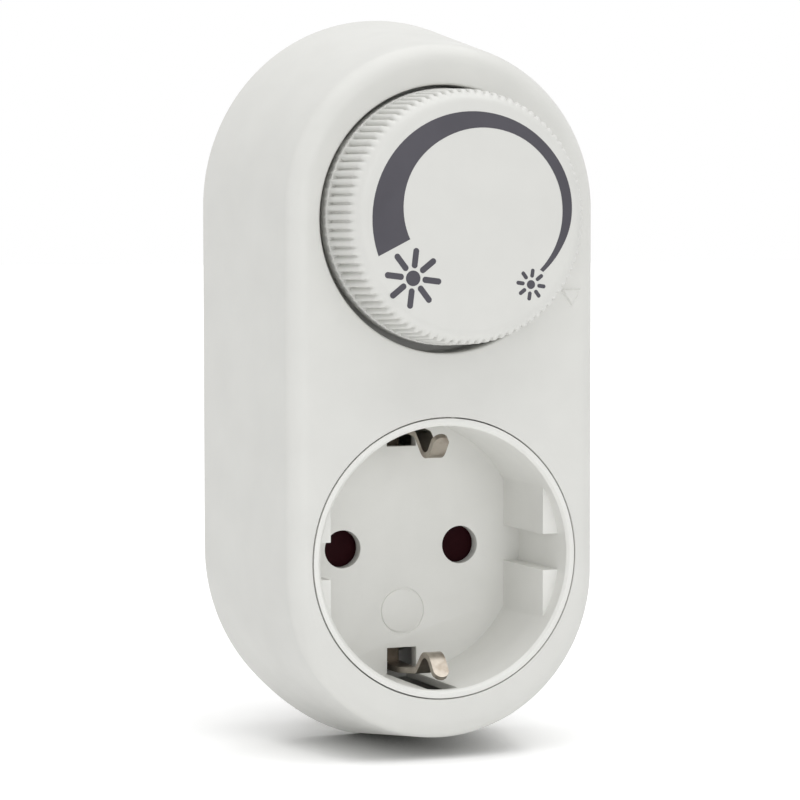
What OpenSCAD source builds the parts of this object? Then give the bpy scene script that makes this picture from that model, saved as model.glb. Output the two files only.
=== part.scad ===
// Plug-in dimmer: a wall plug, a socket with sprung earth clips and a ribbed knob in one housing.
// The model stands upright and faces -Y. The origin is on the plug's end face, midway between the two pins.
// Inside the modules the second coordinate is the depth behind the front face.

/* [Housing] */
// Width of the front face beside the socket's seam, up to where the side wall would meet it
rim_w = 3; // [2.6:0.05:4]
// Room from the front of the recess floor to the back edge
back_room = 9.1; // [9:0.1:12]
// How far each side leans in between the back edge and the front face
side_draft = 4.7; // [3:0.1:5]
// Radius of the rounded front edge
front_edge_r = 3; // [1:0.5:4]
// Thickness of the side walls
wall = 2; // [1.6:0.1:2.2]
// Thickness of the front wall
front_wall = 2.4; // [2:0.1:3]
// Centre of the upper round end above the knob axis at the back edge
top_rise = 1.65; // [1:0.05:3]
// Centre of the lower round end above the socket axis at the back edge
low_rise = 0.25; // [0:0.05:1]
// How far the lower round end drops from the back edge to the front face
low_drop = 3; // [0:0.1:4]
// How far the upper round end rises from the front face to the back edge
high_rise = 0.5; // [0:0.1:1]
// Thickness of the rear cover
cover_t = 2; // [1.6:0.1:2.4]
// Gap all round the rear cover
cover_gap = 0.2; // [0.1:0.05:0.4]

/* [Knob] */
// Height of the knob axis above the socket axis
knob_z = 49.75; // [49:0.05:54]
// How far the knob axis stands above the centre of its well
knob_lift = 0.3; // [0:0.05:0.4]
// Outer radius of the knob over its ribs at the back of its skirt
knob_r = 18.6; // [17.4:0.05:18.8]
// How much smaller the knob's radius is where its front edge begins
knob_taper = 0.45; // [0.2:0.05:0.5]
// How far the knob stands out of the front face
knob_rise = 9.4; // [7:0.1:12]
// How far the knob's skirt reaches into its well
skirt_depth = 0.3; // [0.2:0.1:2]
// Radius of the knob's rounded front edge
knob_edge_r = 1.7; // [1:0.1:2.5]
// Thickness of the knob's face and skirt
knob_wall = 1.7; // [1.4:0.1:2.2]
// Number of ribs round the knob
rib_count = 90; // [60:2:110]
// Depth of the grooves between the ribs at the back of the skirt
rib_depth = 0.8; // [0.7:0.05:0.9]
// Width of the plain rim that closes the grooves at the back of the skirt
skirt_rim = 0.5; // [0.3:0.1:0.8]
// Gap between the knob and its well
well_gap = 0.85; // [0.7:0.05:1.2]
// Depth of the well's floor behind the front face
well_depth = 6; // [5.5:0.1:7]
// Thickness of the well's wall and floor
well_wall = 1.5; // [1.2:0.1:2]

/* [Socket] */
// Radius of the socket recess
recess_r = 19.4; // [19.2:0.05:19.8]
// Depth of the socket recess
recess_depth = 17.9; // [17.4:0.1:18.2]
// Thickness of the recess floor
floor_t = 1.9; // [1.6:0.1:2.6]
// Thickness of the socket insert's wall
insert_wall = 1.1; // [0.9:0.1:1.4]
// Width of the seam between the insert and the housing
seam = 0.2; // [0.15:0.05:0.4]
// Width of the insert's flange outside its wall
flange_w = 0.9; // [0.7:0.05:1]
// Thickness of the insert's flange
flange_t = 1.6; // [1.2:0.1:2]
// How far the side guides stand into the recess
guide_rise = 2.6; // [2:0.05:3.2]
// Width of the groove between a pair of side guides
guide_groove = 5.4; // [4.6:0.1:6.5]
// Depth at which the side guides begin
guide_start = 3.1; // [2:0.1:5]
// Spacing of the two pins and of the two pin holes
pin_spacing = 19; // [18.5:0.1:19.5]
// Diameter of a pin
pin_d = 4.8; // [4.6:0.1:5]
// Clearance of a pin in its hole in the recess floor
pin_hole_gap = 0.45; // [0.3:0.05:0.6]

/* [Plug] */
// Length of the plug body behind the rear cover
plug_length = 17; // [16.5:0.1:19]
// Length of the pins beyond the plug body
pin_length = 19; // [18:0.1:20]
// Play between a plug body and a recess of the same kind
plug_play = 0.8; // [0.6:0.05:1]
// Thickness of the plug body's side wall
plug_wall = 1.7; // [1.4:0.1:2]
// Thickness of the plug body's end wall
plug_end = 3; // [2.5:0.1:3.5]
// Radius of a pin's head inside the plug
pin_head_r = 3.5; // [3.2:0.1:3.8]
// Thickness of a pin's head
pin_head_t = 2; // [1.6:0.1:2.2]

/* [Earth contacts] */
// Width of an earth strip
strip_w = 2.5; // [2.3:0.1:3]
// Thickness of an earth strip
strip_t = 0.9; // [0.7:0.05:0.95]
// Width of the window and slot that an earth strip works in
window_w = 4.7; // [4.4:0.1:5.4]
// How far the window reaches in from the recess wall
window_h = 4.1; // [3.6:0.1:4.4]
// Gap between an earth strip's middle and the recess wall
strip_inset = 0.95; // [0.95:0.05:1.2]
// How far a clip's hump stands in from the recess wall
hump_rise = 5.6; // [4:0.1:6]
// Depth of the clip's tip
tip_depth = 1.6; // [1.5:0.1:2.4]
// Depth of the clip's hump
hump_depth = 5.1; // [4.5:0.1:5.4]
// Depth of the bend where the clip turns up to its hump
root_depth = 9.2; // [8.4:0.1:10]
// How much nearer the socket axis this bend is than the strip's straight run
root_lift = 0.8; // [0.4:0.1:1]
// Inside the plug, how far the strips sit below the plug's outside
contact_sink = 2.1; // [1.5:0.1:2.4]

/* [Shutter] */
// Thickness of the shutter
shutter_t = 1.7; // [1.4:0.1:2]
// Gap in front of and behind the shutter
shutter_gap = 0.3; // [0.2:0.05:0.4]
// Radius of the pivot that carries the shutter
pivot_r = 1.5; // [1.2:0.1:2]
// Running clearance on a pivot or shaft
running = 0.06; // [0.04:0.01:0.1]
// Angle by which a shutter wing overlaps the edge of its pin hole
wing_lap = 2.5; // [1.5:0.1:3]

/* [Dimmer] */
// Radius of the shaft that carries the knob
shaft_r = 3; // [2.5:0.1:3.2]
// Radius of the potentiometer's case
pot_r = 8; // [7.5:0.1:8.4]
// Length of the potentiometer's case
pot_length = 8; // [7.5:0.1:8.5]
// Thickness of the circuit board
board_t = 1.6; // [1:0.2:1.6]
// Room between the circuit board and the rear cover
board_gap = 3.9; // [3.4:0.1:4.2]
// Height of the circuit board
board_h = 37; // [36:0.5:38]
// Radius of a screw post
post_r = 2.6; // [2.4:0.1:2.8]
// Radius of a screw's shank
screw_r = 1.3; // [1:0.1:1.5]

/* [Hidden] */
$fn = 96;

housing_white = [0.86, 0.86, 0.84];
insert_white = [0.88, 0.88, 0.86];
shutter_red = [0.22, 0.09, 0.09];
nickel = [0.72, 0.70, 0.66];
brass = [0.78, 0.62, 0.30];
steel = [0.62, 0.63, 0.65];
board_green = [0.16, 0.36, 0.22];
carrier_grey = [0.30, 0.30, 0.31];
laminate_brown = [0.35, 0.22, 0.12];
epoxy_black = [0.10, 0.10, 0.11];
aluminium = [0.75, 0.76, 0.78];
core_grey = [0.25, 0.25, 0.27];
copper = [0.72, 0.42, 0.20];
capacitor_yellow = [0.80, 0.68, 0.20];
capacitor_green = [0.18, 0.32, 0.20];
diac_red = [0.75, 0.30, 0.20];
resistor_tan = [0.75, 0.65, 0.48];
clear_glass = [0.85, 0.90, 0.92];
wire_brown = [0.40, 0.22, 0.12];
wire_black = [0.12, 0.12, 0.13];

// Thickness of the thin slices that the housing is lofted from
slice = 0.01;
// Overlap by which one region of a piece runs into the next
lap = 0.3;
// Clearance between fixed pieces that sit in one another
seat = 0.05;
// Room that a cut runs past the face it leaves through
over = 1;
// Play on each side of an earth strip in the plug's slots
strip_play = 0.6;

insert_r = recess_r + insert_wall;
housing_depth = recess_depth + back_room;
front_r = insert_r + seam + rim_w;
back_r = front_r + side_draft;
draft_angle = atan(side_draft / housing_depth);
edge_centre = front_r + front_edge_r * tan(draft_angle) - front_edge_r / cos(draft_angle);
cover_front = housing_depth - cover_t;
plug_face = housing_depth + plug_length;

floor_back = recess_depth + floor_t;
ledge_w = 0.9;
ledge_t = 1.1;
ledge_back = floor_back + ledge_t;
guide_x = recess_r - guide_rise;
hole_x = pin_spacing / 2;
pin_r = pin_d / 2;
hole_r = pin_r + pin_hole_gap;
pin_neck_step = 0.2;
pin_neck_r = pin_r - pin_neck_step;

plug_r = recess_r - plug_play;
plug_flat = guide_x - plug_play / 2;
plug_key = guide_groove / 2 - plug_play / 2;
plug_slot_w = strip_w + 2 * strip_play;

strip_z = recess_r - strip_inset;
contact_z = plug_r - contact_sink - strip_t / 2;
strip_end = plug_face - plug_end;
tip_drop = 0.2;
heel_depth = recess_depth - 1.5;
jog_ahead = 1.2;
jog_start = housing_depth - jog_ahead;
jog_length = 2.6;
jog_end = jog_start + jog_length;

shutter_front = floor_back + shutter_gap;
shutter_back = shutter_front + shutter_t;
wing_angle = asin(hole_r / hole_x) + wing_lap;
wing_margin = 0.8;
wing_r = hole_x + hole_r + wing_margin;
bridge_gap = 0.5;
bridge_front = shutter_back + bridge_gap;
bridge_t = 0.8;
tab_length = 2.7;
rivet_r = 0.7;
rivet_depth = bridge_front + tab_length - rivet_r;
rivet_head_r = 1.6 * rivet_r;
rivet_head_t = 0.3;

sleeve_gap = 0.8;
sleeve_front = shutter_back + sleeve_gap;
sleeve_t = 0.9;
sleeve_r = pin_r + sleeve_t;
sleeve_flare = 0.5;
sleeve_mouth = 1.4;
pocket_gap = 0.25;
pocket_r = sleeve_r + sleeve_flare + pocket_gap;
head_front = plug_face - plug_end - pin_head_t;
carrier_gap = 0.1;
carrier_back = head_front - carrier_gap;
carrier_floor = 1.4;
carrier_front = max(housing_depth + 2 * carrier_gap, sleeve_front + sleeve_mouth);
carrier_h = 13;
sleeve_back = carrier_back - carrier_floor;
tail_r = 1.4;

well_r = knob_r + well_gap;
well_z = knob_z - knob_lift;
well_back = well_depth + well_wall;
bush_wall = 0.55;
bush_r = shaft_r + bush_wall;
nut_t = 1.6;
bush_reach = 1.2;
bush_front = well_depth - nut_t - bush_reach;
pot_plate_t = 0.8;
pot_front = well_back + pot_plate_t;
pot_back = pot_front + pot_length;
pot_wall = 0.6;
wiper_front = pot_front + pot_length / 2;
wiper_t = 1.5;
wiper_gap = 0.3;
track_front = wiper_front + wiper_t + wiper_gap;
terminal_pitch = 4;

board_depth = cover_front - board_gap - board_t;
board_inset = 5.1;
board_half_w = side_r(board_depth) - wall - board_inset;
board_above_knob = 14.75;
board_top = knob_z + board_above_knob;
board_low = board_top - board_h;
board_back = board_depth + board_t;
board_post_x = board_half_w - post_r;
board_post_z = board_top - post_r;
top_post_start = 12;
top_post_angle = 52;
post_inset = 0.4;
top_post_reach = side_r(top_post_start) - post_r - post_inset;
top_post_x = top_post_reach * cos(top_post_angle);
top_post_z = high_z(top_post_start) + top_post_reach * sin(top_post_angle);
top_posts = [[top_post_x, top_post_z]];
board_posts = [[board_post_x, board_post_z]];
screw_length = 8;
screw_head_t = 0.9;
screw_head_r = 2 * screw_r;

spring_post_x = -4;
spring_post_in = 5.6;
spring_post = [spring_post_x, recess_r - spring_post_in];
spring_post_r = 1.2;
tag_w = 2;
tag_t = 1;
contact_tag_x = hole_x + tag_w;
contact_tag_z = 6;
contact_tag_in = 2.5;
contact_tag_depth = sleeve_front + contact_tag_in;
pin_tag_z = 7.6;
pin_tag_in = 0.9;
pin_tag_depth = head_front + pin_tag_in;
hub_gap = 0.4;
hub_back = bush_front - hub_gap;
shaft_cover = 2;
shaft_front = -knob_rise + knob_wall + shaft_cover;
shaft_neck_r = 0.6 * shaft_r;

part_gap = 2.2;
wire_r = 0.9;
wire_depth = cover_front - 2 * wire_r;
wire_play = 0.6;
wire_bend = 1.6;
wire_sides = 8;
live_wire_x = 9.8;
switched_wire_x = 6.2;
wire_notch = [switched_wire_x - wire_r - wire_play, live_wire_x + wire_r + wire_play];
wire_foot_z = board_low + wire_bend;
lead_hole_r = 0.8;

triac_x = pot_r + part_gap;
triac_t = 4.4;
triac_w = 10;
triac_h = 8;
triac_low = knob_z - triac_w;
triac_lift = 1.4;
triac_back = board_depth - triac_lift;
triac_hole_in = 2;
triac_screw_depth = triac_back - triac_h + triac_hole_in;
sink_t = 1.5;
sink_w = 20;

film_w = 9;
film_h = 15;
film_t = 9.5;
film_below_knob = 6.8;
film_low = knob_z - film_below_knob;
choke_x = -11.2;
choke_bore_r = 3.2;
choke_r = 5.4;
choke_h = 5.6;
winding_t = 0.9;
choke_z = film_low - part_gap - choke_r - winding_t;
timing_w = 7.4;
timing_h = 2.8;
timing_t = 6;
timing_left = -3.4;
timing_low = knob_z - pot_r - part_gap - timing_h;

fuse_r = 2.5;
fuse_z = timing_low - part_gap - fuse_r;
fuse_left = -2.6;
fuse_length = 20;
fuse_lift = 1;
fuse_axis = board_depth - fuse_r - fuse_lift;
fuse_cap_length = 5;
fuse_cap_t = 0.3;
fuse_cap_end = 0.6;

post_gap = 0.2;
mid_post_x = front_r - wall - post_r - post_inset - post_gap;
mid_post_z = min(board_low, fuse_z - fuse_r) - post_r - post_gap;
mid_posts = [[mid_post_x, mid_post_z]];
screw_posts = concat(top_posts, mid_posts);

// Loft radius and the heights of the two round ends at a depth
function side_r(d) = front_r + side_draft * d / housing_depth;
function low_z(d) = low_rise - low_drop * (1 - d / housing_depth);
function high_z(d) = knob_z + top_rise - high_rise * (1 - d / housing_depth);

// Points of an arc that rounds the corner b of the path a, b, c
function unit(v) = v / norm(v);
function bend(a, b, c, r, steps) =
    let (
        u = unit(a - b),
        w = unit(c - b),
        half = acos(u * w) / 2,
        centre = b + unit(u + w) * r / sin(half),
        first = b + u * r / tan(half) - centre,
        last = b + w * r / tan(half) - centre
    )
    [for (i = [0:steps]) centre + r * unit(first * (steps - i) + last * i)];

// Outline of a strip of constant thickness along a path
function path_normal(p, i) =
    let (
        before = p[max(i - 1, 0)],
        after = p[min(i + 1, len(p) - 1)],
        t = unit(after - before)
    )
    [-t[1], t[0]];
function strip_outline(p, t) = concat(
    [for (i = [0:len(p) - 1]) p[i] + path_normal(p, i) * t / 2],
    [for (i = [len(p) - 1:-1:0]) p[i] - path_normal(p, i) * t / 2]
);

// Rings of points round a wire's route, joined into one closed tube
module tube(route, r, sides) {
    count = len(route);
    dirs = [for (i = [0:count - 1]) unit(route[min(i + 1, count - 1)] - route[max(i - 1, 0)])];
    rings = [
        for (i = [0:count - 1])
            let (
                across = unit(cross(dirs[i], [1, 0, 0])),
                up = cross(across, dirs[i])
            )
            for (k = [0:sides - 1])
                route[i] + r * (across * cos(360 * k / sides) + up * sin(360 * k / sides))
    ];
    sides_faces = [
        for (i = [0:count - 2])
            for (k = [0:sides - 1])
                let (
                    a = i * sides + k,
                    b = i * sides + (k + 1) % sides
                )
                [a, b, b + sides, a + sides]
    ];
    first_end = [for (k = [sides - 1:-1:0]) k];
    last_end = [for (k = [0:sides - 1]) (count - 1) * sides + k];
    polyhedron(points = rings, faces = concat(sides_faces, [first_end, last_end]));
}

// Moves a piece from depths behind the front face to the part's own frame
module placed() {
    translate([0, -plug_face, 0])
        children();
}

// Extrudes an outline of the front view between two depths
module plate(from, to) {
    translate([0, to, 0])
        rotate([90, 0, 0])
            linear_extrude(to - from)
                children();
}

// Round bar along the depth
module rod(x, z, r, from, to) {
    translate([x, from, z])
        rotate([-90, 0, 0])
            cylinder(h = to - from, r = r);
}

// Revolves a profile of radius and depth about an axis along the depth
module turned(x, z) {
    translate([x, 0, z])
        rotate([-90, 0, 0])
            rotate_extrude()
                children();
}

// Stands a piece drawn along Z at a point and lays it along X
module along_x(x, depth, z) {
    translate([x, depth, z])
        rotate([0, 90, 0])
            children();
}

// Box between two corners
module block(low, high) {
    translate(low)
        cube(high - low);
}

module mirrored_x() {
    children();
    mirror([1, 0, 0])
        children();
}

module mirrored_z() {
    children();
    mirror([0, 0, 1])
        children();
}

// Straight-sided outline with two round ends
module obround(r, low, high) {
    translate([0, low])
        circle(r);
    translate([0, high])
        circle(r);
    translate([-r, low])
        square([2 * r, high - low]);
}

module loft_slice(r, d) {
    for (z = [low_z(d), high_z(d)])
        rod(0, z, r, d - slice, d, $fn = 64);
}

module housing_outside() {
    edge_steps = 5;
    hull() {
        for (i = [0:edge_steps]) {
            a = (90 - draft_angle) * i / edge_steps;
            loft_slice(edge_centre + front_edge_r * sin(a), front_edge_r * (1 - cos(a)) + slice);
        }
        loft_slice(back_r, housing_depth);
    }
}

module housing_inside() {
    inner_edge = 0.4;
    hull() {
        loft_slice(side_r(front_wall) - wall - inner_edge, front_wall + slice);
        loft_slice(side_r(front_wall + inner_edge) - wall, front_wall + inner_edge);
        loft_slice(side_r(housing_depth + over) - wall, housing_depth + over);
    }
}

module posts(places, r, from, to) {
    mirrored_x()
        for (p = places)
            rod(p[0], p[1], r, from, to);
}

module front_housing() {
    pilot_r = screw_r + seat;
    color(housing_white)
        placed()
            difference() {
                union() {
                    difference() {
                        housing_outside();
                        housing_inside();
                    }
                    rod(0, well_z, well_r + well_wall, front_wall - lap, well_back);
                    posts(top_posts, post_r, top_post_start, cover_front);
                    posts(mid_posts, post_r, front_wall - lap, cover_front);
                    posts(board_posts, post_r, front_wall - lap, board_depth);
                }
                rod(0, well_z, well_r, -over, well_depth);
                rod(0, knob_z, bush_r + seat, well_depth - over, well_back + over);
                rod(0, 0, insert_r + seam, -over, front_wall + over);
                posts(screw_posts, pilot_r, cover_front - screw_length, cover_front + over);
                posts(board_posts, pilot_r, board_depth - screw_length, board_depth + over);
            }
}

module plug_outline() {
    difference() {
        circle(plug_r);
        for (side = [-1, 1])
            for (end = [-1, 1])
                scale([side, end])
                    translate([plug_flat, plug_key])
                        square([plug_r, plug_r]);
    }
}

module plug_inside_outline() {
    intersection() {
        circle(plug_r - plug_wall);
        square([2 * (plug_flat - plug_wall), 2 * plug_r], center = true);
    }
}

// Plug body with a bevel round its end
module plug_body() {
    bevel = 0.9;
    from = housing_depth - lap;
    intersection() {
        plate(from, plug_face)
            plug_outline();
        turned(0, 0)
            polygon([
                [0, from - over],
                [plug_r + over, from - over],
                [plug_r + over, plug_face - bevel - over],
                [plug_r - bevel, plug_face],
                [0, plug_face]
            ]);
    }
}

module rear_cover() {
    cover_r = side_r(cover_front) - wall - cover_gap;
    color(housing_white)
        placed()
            difference() {
                union() {
                    plate(cover_front, housing_depth)
                        obround(cover_r, low_z(cover_front), high_z(cover_front));
                    plug_body();
                }
                plate(cover_front - over, plug_face - plug_end)
                    plug_inside_outline();
                mirrored_z()
                    block([-plug_slot_w / 2, cover_front - over, contact_z - strip_t - lap],
                        [plug_slot_w / 2, strip_end + seat, strip_z + strip_t + lap]);
                for (x = [-hole_x, hole_x])
                    rod(x, 0, pin_neck_r + seat, plug_face - plug_end - over, plug_face + over);
                for (x = [-hole_x, hole_x])
                    rod(x, 0, pocket_r, cover_front - over, plug_face - plug_end);
                posts(screw_posts, screw_r + seat, cover_front - over, housing_depth + over);
                posts(screw_posts, screw_head_r + seat, housing_depth - cover_t / 2, housing_depth + over);
            }
}

module guide_outline() {
    intersection() {
        circle(recess_r + lap);
        for (side = [-1, 1])
            for (end = [-1, 1])
                scale([side, end])
                    translate([guide_x, guide_groove / 2])
                        square([recess_r, recess_r]);
    }
}

// Shallow ring that a mould's ejector pin leaves in the recess floor
module ejector_ring() {
    ring_r = 3.6;
    ring_w = 0.35;
    ring_depth = 0.15;
    ring_z = -recess_r / 2;
    difference() {
        rod(0, ring_z, ring_r, recess_depth - over, recess_depth + ring_depth);
        rod(0, ring_z, ring_r - ring_w, recess_depth - 2 * over, recess_depth + over);
    }
}

// Openings at the top and bottom that the earth strips work in
module strip_windows() {
    mirrored_z()
        block([-window_w / 2, tip_depth - 2 * seat, recess_r - window_h],
            [window_w / 2, ledge_back + over, insert_r + seat]);
}

// Round sleeve of the recess, with the side guides in front of its floor and a ledge behind it
module socket_insert() {
    lead_in = 0.4;
    flange_r = insert_r + flange_w;
    ledge_r = recess_r - ledge_w;
    color(insert_white)
        placed()
            difference() {
                union() {
                    turned(0, 0)
                        polygon([
                            [recess_r, lead_in],
                            [recess_r + lead_in, 0],
                            [insert_r, 0],
                            [insert_r, front_wall],
                            [flange_r, front_wall],
                            [flange_r, front_wall + flange_t],
                            [insert_r, front_wall + flange_t],
                            [insert_r, cover_front],
                            [recess_r, cover_front],
                            [recess_r, ledge_back],
                            [ledge_r, ledge_back],
                            [ledge_r, floor_back + seat],
                            [recess_r, floor_back + seat]
                        ]);
                    plate(guide_start, recess_depth - seat)
                        guide_outline();
                }
                strip_windows();
                block([wire_notch[0], wire_depth - wire_r - seat, 0],
                    [wire_notch[1], cover_front + over, insert_r + over]);
            }
}

// Floor of the recess, held between the guides and the ledge, with the shutter's pivot on its back
module socket_floor() {
    color(insert_white)
        placed()
            difference() {
                union() {
                    rod(0, 0, recess_r - seat, recess_depth, floor_back);
                    rod(0, 0, pivot_r, floor_back - lap, bridge_front - 2 * seat);
                    rod(spring_post[0], spring_post[1], spring_post_r, floor_back - lap, shutter_back);
                }
                for (x = [-hole_x, hole_x])
                    rod(x, 0, hole_r, recess_depth - over, floor_back + over);
                strip_windows();
                ejector_ring();
            }
}

module shutter() {
    hub_wall = 3;
    color(shutter_red)
        placed()
            plate(shutter_front, shutter_back)
                difference() {
                    union() {
                        circle(pivot_r + hub_wall);
                        intersection() {
                            circle(wing_r);
                            union() {
                                for (side = [0, 180])
                                    rotate(side)
                                        polygon([
                                            [0, 0],
                                            [2 * wing_r, 2 * wing_r * tan(wing_angle)],
                                            [2 * wing_r, -2 * wing_r * tan(wing_angle)]
                                        ]);
                            }
                        }
                    }
                    circle(pivot_r + running);
                }
}

module shutter_spring() {
    leaf_t = 0.4;
    leaf_gap = 0.2;
    eye_r = spring_post_r + seat;
    offset = eye_r + 0.9 * leaf_t;
    wing_edge = [-cos(wing_angle), sin(wing_angle)];
    wing_out = [sin(wing_angle), cos(wing_angle)];
    touch = 0.85 * wing_r * wing_edge + leaf_gap * wing_out;
    reach = touch - spring_post;
    length = sqrt(reach * reach - offset * offset);
    turn = atan2(reach[1], reach[0]) - atan2(offset, length);
    color(steel)
        placed()
            plate(shutter_front + 2 * seat, shutter_back - 2 * seat)
                translate(spring_post)
                    difference() {
                        union() {
                            circle(eye_r + leaf_t);
                            rotate(turn)
                                translate([0, eye_r + 0.1 * leaf_t])
                                    square([length, 0.8 * leaf_t]);
                        }
                        circle(eye_r);
                    }
}

// One earth strip: a sprung clip in the recess, a run through the floor and a side contact of the plug
module earth_strip() {
    tip = [tip_depth, strip_z - tip_drop];
    hump_bend = 1.5;
    root_bend = 1.2;
    heel_bend = 6;
    jog_bend = 1;
    hump = [hump_depth, recess_r - hump_rise];
    root = [root_depth, strip_z - root_lift];
    heel = [heel_depth, strip_z];
    jog_a = [jog_start, strip_z];
    jog_b = [jog_end, contact_z];
    end = [strip_end, contact_z];
    path = concat(
        [tip],
        bend(tip, hump, root, hump_bend, 8),
        bend(hump, root, heel, root_bend, 6),
        bend(root, heel, jog_a, heel_bend, 2),
        bend(heel, jog_a, jog_b, jog_bend, 4),
        bend(jog_a, jog_b, end, jog_bend, 4),
        [end]
    );
    round_z = tip[1] - strip_w / 2;
    difference() {
        rotate([0, 0, 90])
            rotate([90, 0, 0])
                linear_extrude(strip_w, center = true)
                    polygon(strip_outline(path, strip_t));
        plate(0, hump_depth - strip_t / 3)
            difference() {
                translate([-strip_w, round_z])
                    square([2 * strip_w, strip_w]);
                translate([0, round_z])
                    circle(strip_w / 2);
            }
        translate([0, rivet_depth, strip_z - over])
            cylinder(h = 2 * over, r = rivet_r + seat);
    }
}

module earth_strip_top() {
    color(nickel)
        placed()
            earth_strip();
}

module earth_strip_bottom() {
    color(nickel)
        placed()
            mirror([0, 0, 1])
                earth_strip();
}

module earth_bridge() {
    tab_z = strip_z - strip_t / 2;
    color(nickel)
        placed()
            difference() {
                union() {
                    block([-strip_w / 2, bridge_front, -tab_z],
                        [strip_w / 2, bridge_front + bridge_t, tab_z]);
                    mirrored_z()
                        block([-strip_w / 2, bridge_front, tab_z - bridge_t],
                            [strip_w / 2, bridge_front + tab_length, tab_z]);
                }
                mirrored_z()
                    translate([0, rivet_depth, tab_z - 2 * over])
                        cylinder(h = 4 * over, r = rivet_r + seat);
            }
}

module earth_rivets() {
    inner = strip_z - strip_t / 2 - bridge_t;
    outer = strip_z + strip_t / 2;
    color(steel)
        placed()
            mirrored_z()
                translate([0, rivet_depth, 0]) {
                    translate([0, 0, inner - rivet_head_t])
                        cylinder(h = outer - inner + 2 * rivet_head_t, r = rivet_r);
                    translate([0, 0, inner - rivet_head_t])
                        cylinder(h = rivet_head_t, r = rivet_head_r);
                    translate([0, 0, outer])
                        cylinder(h = rivet_head_t, r = rivet_head_r);
                }
}

// Slit spring sleeve that grips a pin of a plug
module sleeve(x) {
    slit = 1;
    slit_end = sleeve_back - 3;
    difference() {
        turned(x, 0)
            polygon([
                [pin_r + sleeve_flare, sleeve_front],
                [sleeve_r + sleeve_flare, sleeve_front],
                [sleeve_r, sleeve_front + sleeve_mouth],
                [sleeve_r, sleeve_back],
                [0, sleeve_back],
                [0, sleeve_back - sleeve_t],
                [pin_r, sleeve_back - sleeve_t],
                [pin_r, sleeve_front + sleeve_mouth]
            ]);
        block([x - slit / 2, sleeve_front - over, -2 * sleeve_r],
            [x + slit / 2, slit_end, 2 * sleeve_r]);
    }
}

module live_contact() {
    color(brass)
        placed() {
            sleeve(hole_x);
            block([contact_tag_x - tag_w / 2, contact_tag_depth - tag_t / 2, sleeve_r - tag_t / 2],
                [contact_tag_x + tag_w / 2, contact_tag_depth + tag_t / 2, contact_tag_z]);
        }
}

module neutral_contact() {
    color(brass)
        placed() {
            sleeve(-hole_x);
            rod(-hole_x, 0, tail_r, sleeve_back - lap, head_front);
        }
}

module contact_carrier() {
    half_w = plug_flat - plug_wall - pocket_gap;
    core_r = 3;
    color(carrier_grey)
        placed()
            difference() {
                plate(carrier_front, carrier_back)
                    square([2 * half_w, carrier_h], center = true);
                for (x = [-hole_x, hole_x])
                    rod(x, 0, sleeve_r + seat, carrier_front - over, sleeve_back);
                rod(-hole_x, 0, tail_r + seat, carrier_front, carrier_back + over);
                rod(0, 0, core_r, carrier_front - over, carrier_back - 2 * carrier_floor);
            }
}

// Solid pin with a head inside the plug and a rounded tip
module pin(x) {
    tip = plug_face + pin_length;
    tip_r = 1.6;
    turned(x, 0)
        polygon(concat(
            [
                [0, head_front],
                [pin_head_r, head_front],
                [pin_head_r, plug_face - plug_end],
                [pin_neck_r, plug_face - plug_end],
                [pin_neck_r, plug_face + pin_neck_step],
                [pin_r, plug_face + 2 * pin_neck_step]
            ],
            [for (a = [0:15:90]) [pin_r - tip_r + tip_r * cos(a), tip - tip_r + tip_r * sin(a)]],
            [[0, tip]]
        ));
}

module live_pin() {
    color(nickel)
        placed() {
            pin(hole_x);
            block([hole_x - tag_w / 2, pin_tag_depth - tag_t / 2, pin_head_r - tag_t],
                [hole_x + tag_w / 2, pin_tag_depth + tag_t / 2, pin_tag_z]);
        }
}

module neutral_pin() {
    color(nickel)
        placed()
            pin(-hole_x);
}

// Grooves between the knob's ribs, each wider at its mouth
module rib_grooves() {
    pitch = 360 / rib_count;
    low_r = knob_r - rib_depth;
    mouth_r = knob_r + over;
    low_half = 0.08 * pitch;
    mouth_half = 0.38 * pitch;
    for (i = [0:rib_count - 1])
        rotate(pitch * i)
            polygon([
                low_r * [cos(low_half), -sin(low_half)],
                mouth_r * [cos(mouth_half), -sin(mouth_half)],
                mouth_r * [cos(mouth_half), sin(mouth_half)],
                low_r * [cos(low_half), sin(low_half)]
            ]);
}

// Shaft outline with one flat, grown by a clearance
module flatted_shaft_outline(grow) {
    flat_share = 0.55;
    flat = flat_share * shaft_r;
    difference() {
        circle(shaft_r + grow);
        translate([-2 * shaft_r, -2 * shaft_r - flat - grow])
            square([4 * shaft_r, 2 * shaft_r]);
    }
}

module knob() {
    face = -knob_rise;
    inner_r = knob_r - rib_depth - knob_wall;
    band = face + knob_edge_r;
    hub_wall = 1.6;
    hub_r = shaft_r + hub_wall;
    edge_centre_r = knob_r - knob_taper - knob_edge_r;
    edge = [for (a = [0:15:90]) [edge_centre_r + knob_edge_r * cos(a), band - knob_edge_r * sin(a)]];
    color(housing_white)
        placed()
            difference() {
                union() {
                    turned(0, knob_z)
                        polygon(concat(
                            [[0, face + knob_wall], [inner_r, face + knob_wall], [inner_r, skirt_depth]],
                            [[knob_r, skirt_depth]],
                            edge,
                            [[0, face]]
                        ));
                    rod(0, knob_z, hub_r, face + knob_wall - lap, hub_back);
                }
                translate([0, 0, knob_z]) {
                    plate(face - over, skirt_depth - skirt_rim)
                        rib_grooves();
                    plate(shaft_front - 4 * seat, hub_back + over)
                        flatted_shaft_outline(seat);
                }
            }
}

module pot_shaft() {
    color(steel)
        placed() {
            translate([0, 0, knob_z])
                plate(shaft_front, hub_back + lap)
                    flatted_shaft_outline(0);
            rod(0, knob_z, shaft_r, hub_back, wiper_front);
            rod(0, knob_z, shaft_neck_r, wiper_front - lap, wiper_front + wiper_t);
        }
}

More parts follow.
